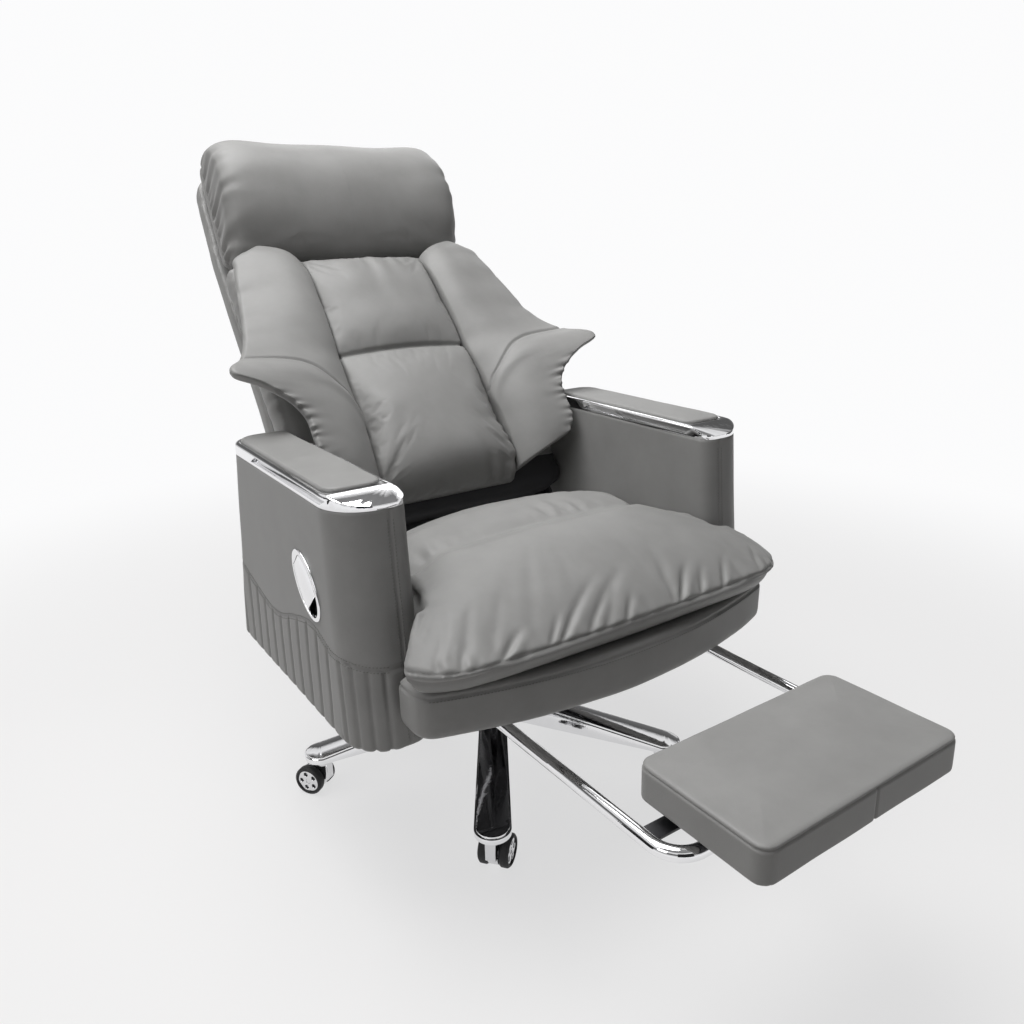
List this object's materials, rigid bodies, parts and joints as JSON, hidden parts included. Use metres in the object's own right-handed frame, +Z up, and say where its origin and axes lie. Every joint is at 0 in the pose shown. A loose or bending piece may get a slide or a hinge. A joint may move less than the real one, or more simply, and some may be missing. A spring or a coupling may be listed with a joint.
{
  "type": "executive recliner chair",
  "caption": "Grey leather executive recliner on a chrome star base with casters: winged back, head pillow, boxed padded arms and a slide-out footrest.",
  "frame": {"origin": "on the floor under the swivel axis", "axes": "+Z up along the swivel axis, -Y towards the sitter's feet, +X to the sitter's left"},
  "size_m": [0.7265, 1.4462, 1.0849],
  "materials": {
    "grey_leather": "satin, fine grain",
    "chrome_trim": "mirror polish",
    "bare_steel": "bare",
    "black_steel": "satin black",
    "plywood": "raw",
    "black_plastic": "matte",
    "silver_plastic": "bright silver",
    "black_tyre": "matte"
  },
  "bodies": {
    "base": {"star_base": "chrome_trim", "gas_cylinder": "black_steel", "caster_stems": "bare_steel"},
    "lift_rod": {"gas_rod": "bare_steel"},
    "seat": {"seat_mechanism": "black_steel", "mechanism_bolts": "bare_steel", "seat_cross_bars": "black_steel", "seat_board": "plywood", "seat_base": "grey_leather", "seat_cushion": "grey_leather", "arm_bolts": "bare_steel", "release_bezel": "chrome_trim", "release_pin": "bare_steel", "hinge_pins": "bare_steel", "seat_side_plate_left": "black_steel", "seat_side_plate_right": "black_steel", "arm_panel_left": "grey_leather", "arm_panel_right": "grey_leather", "arm_trim_left": "chrome_trim", "arm_trim_right": "chrome_trim", "arm_pad_left": "grey_leather", "arm_pad_right": "grey_leather", "recliner_disc_left": "black_steel", "recliner_disc_right": "black_steel", "footrest_guide_left": "black_steel", "footrest_guide_right": "black_steel"},
    "height_lever": {"height_lever": "bare_steel", "lever_knob": "black_plastic"},
    "release_flap": {"release_flap": "chrome_trim"},
    "back": {"back_board": "plywood", "back_shell": "grey_leather", "back_pad": "grey_leather", "lumbar_cushion": "grey_leather", "head_pillow": "grey_leather", "back_bracket_left": "black_steel", "back_bracket_right": "black_steel", "wing_left": "grey_leather", "wing_right": "grey_leather"},
    "footrest_carriage": {"footrest_tube": "chrome_trim", "footrest_strap": "black_steel"},
    "footrest": {"footrest_clips": "black_steel", "footrest_board": "plywood", "footrest_pad": "grey_leather"},
    "caster_1": {"caster_1_fork": "silver_plastic"},
    "caster_1_inner": {"caster_1_wheel_inner": "black_tyre"},
    "caster_1_outer": {"caster_1_wheel_outer": "black_tyre"},
    "caster_2": {"caster_2_fork": "silver_plastic"},
    "caster_2_inner": {"caster_2_wheel_inner": "black_tyre"},
    "caster_2_outer": {"caster_2_wheel_outer": "black_tyre"},
    "caster_3": {"caster_3_fork": "silver_plastic"},
    "caster_3_inner": {"caster_3_wheel_inner": "black_tyre"},
    "caster_3_outer": {"caster_3_wheel_outer": "black_tyre"},
    "caster_4": {"caster_4_fork": "silver_plastic"},
    "caster_4_inner": {"caster_4_wheel_inner": "black_tyre"},
    "caster_4_outer": {"caster_4_wheel_outer": "black_tyre"},
    "caster_5": {"caster_5_fork": "silver_plastic"},
    "caster_5_inner": {"caster_5_wheel_inner": "black_tyre"},
    "caster_5_outer": {"caster_5_wheel_outer": "black_tyre"}
  },
  "joints": [
    {"name": "seat_height", "type": "slide", "parent": "base", "child": "lift_rod", "axis": [0, 0, 1], "range_m": [-0.028, 0.05]},
    {"name": "seat_swivel", "type": "hinge", "parent": "lift_rod", "child": "seat", "pos_m": [0, 0, 0.28], "axis": [0, 0, 1], "continuous": true},
    {"name": "height_lever_lift", "type": "hinge", "parent": "seat", "child": "height_lever", "pos_m": [-0.05501, -0.045, 0.268], "axis": [0, 1, 0], "range_deg": [0, 7], "stiffness_Nm_per_rad": 12, "springref_deg": -3.44},
    {"name": "release_flap_pull", "type": "hinge", "parent": "seat", "child": "release_flap", "pos_m": [-0.3625, -0.09013, 0.48787], "axis": [0, 0.7071, -0.7071], "range_deg": [0, 30], "stiffness_Nm_per_rad": 0.3, "springref_deg": -5.73},
    {"name": "back_recline", "type": "hinge", "parent": "seat", "child": "back", "pos_m": [0, 0.178, 0.352], "axis": [-1, 0, 0], "range_deg": [-22, 22]},
    {"name": "footrest_slide", "type": "slide", "parent": "seat", "child": "footrest_carriage", "axis": [0, 1, 0], "range_m": [0, 0.295]},
    {"name": "footrest_flip", "type": "hinge", "parent": "footrest_carriage", "child": "footrest", "pos_m": [0, -0.65, 0.289], "axis": [1, 0, 0], "range_deg": [0, 180]},
    {"name": "caster_1_swivel", "type": "hinge", "parent": "base", "child": "caster_1", "pos_m": [-0.16612, -0.25579, 0.05], "axis": [0, 0, 1], "continuous": true},
    {"name": "caster_1_inner_spin", "type": "hinge", "parent": "caster_1", "child": "caster_1_inner", "pos_m": [-0.15254, -0.24556, 0.025], "axis": [-0.6018, 0.7986, 0], "continuous": true},
    {"name": "caster_1_outer_spin", "type": "hinge", "parent": "caster_1", "child": "caster_1_outer", "pos_m": [-0.15254, -0.24556, 0.025], "axis": [-0.6018, 0.7986, 0], "continuous": true},
    {"name": "caster_2_swivel", "type": "hinge", "parent": "base", "child": "caster_2", "pos_m": [0.19194, -0.23703, 0.05], "axis": [0, 0, 1], "continuous": true},
    {"name": "caster_2_inner_spin", "type": "hinge", "parent": "caster_2", "child": "caster_2_inner", "pos_m": [0.20828, -0.24172, 0.025], "axis": [0.2756, 0.9613, 0], "continuous": true},
    {"name": "caster_2_outer_spin", "type": "hinge", "parent": "caster_2", "child": "caster_2_outer", "pos_m": [0.20828, -0.24172, 0.025], "axis": [0.2756, 0.9613, 0], "continuous": true},
    {"name": "caster_3_swivel", "type": "hinge", "parent": "base", "child": "caster_3", "pos_m": [0.28474, 0.1093, 0.05], "axis": [0, 0, 1], "continuous": true},
    {"name": "caster_3_inner_spin", "type": "hinge", "parent": "caster_3", "child": "caster_3_inner", "pos_m": [0.27153, 0.12, 0.025], "axis": [-0.6293, -0.7771, 0], "continuous": true},
    {"name": "caster_3_outer_spin", "type": "hinge", "parent": "caster_3", "child": "caster_3_outer", "pos_m": [0.27153, 0.12, 0.025], "axis": [-0.6293, -0.7771, 0], "continuous": true},
    {"name": "caster_4_swivel", "type": "hinge", "parent": "base", "child": "caster_4", "pos_m": [-0.01596, 0.30458, 0.05], "axis": [0, 0, 1], "continuous": true},
    {"name": "caster_4_inner_spin", "type": "hinge", "parent": "caster_4", "child": "caster_4_inner", "pos_m": [-0.03284, 0.30665, 0.025], "axis": [-0.1219, -0.9925, 0], "continuous": true},
    {"name": "caster_4_outer_spin", "type": "hinge", "parent": "caster_4", "child": "caster_4_outer", "pos_m": [-0.03284, 0.30665, 0.025], "axis": [-0.1219, -0.9925, 0], "continuous": true},
    {"name": "caster_5_swivel", "type": "hinge", "parent": "base", "child": "caster_5", "pos_m": [-0.29461, 0.07894, 0.05], "axis": [0, 0, 1], "continuous": true},
    {"name": "caster_5_inner_spin", "type": "hinge", "parent": "caster_5", "child": "caster_5_inner", "pos_m": [-0.30436, 0.09287, 0.025], "axis": [-0.8192, -0.5736, 0], "continuous": true},
    {"name": "caster_5_outer_spin", "type": "hinge", "parent": "caster_5", "child": "caster_5_outer", "pos_m": [-0.30436, 0.09287, 0.025], "axis": [-0.8192, -0.5736, 0], "continuous": true}
  ],
  "couplings": [
    {"joint": "footrest_flip", "follows": "footrest_slide", "rad_per_m": 10.649}
  ]
}
